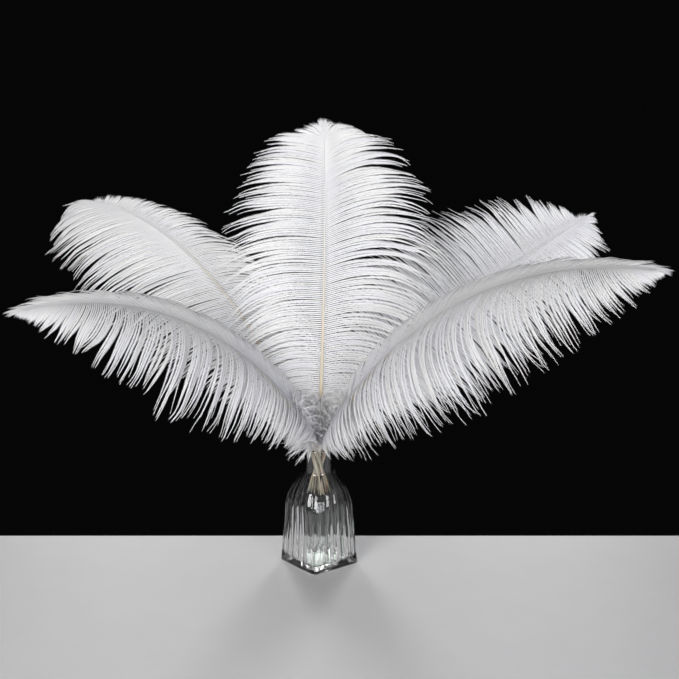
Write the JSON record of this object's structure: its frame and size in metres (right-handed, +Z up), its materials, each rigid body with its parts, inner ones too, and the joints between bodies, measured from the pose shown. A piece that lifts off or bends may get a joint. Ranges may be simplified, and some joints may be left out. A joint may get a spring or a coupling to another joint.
{
  "type": "ostrich feather arrangement",
  "caption": "White ostrich plumes fanned out in a small clear glass vase with a square fluted body and a round neck, as a table decoration.",
  "frame": {"origin": "middle of the vase's underside, on the surface it stands on", "axes": "+X to the right along the spread of the plumes, -Y towards the viewer, +Z up along the vase's axis"},
  "size_m": [0.5195, 0.2931, 0.3739],
  "materials": {
    "clear_glass": "clear, polished, faintly green in its thick foot",
    "white_plume": "soft, silky barbs, bleached white with a faint lilac cast in the shade; the shaft is cream near its root"
  },
  "bodies": {
    "root": {"vase": "clear_glass", "feather_centre": "white_plume", "feather_back_left": "white_plume", "feather_back_right": "white_plume", "feather_front_left": "white_plume", "feather_front_right": "white_plume"}
  },
  "joints": []
}
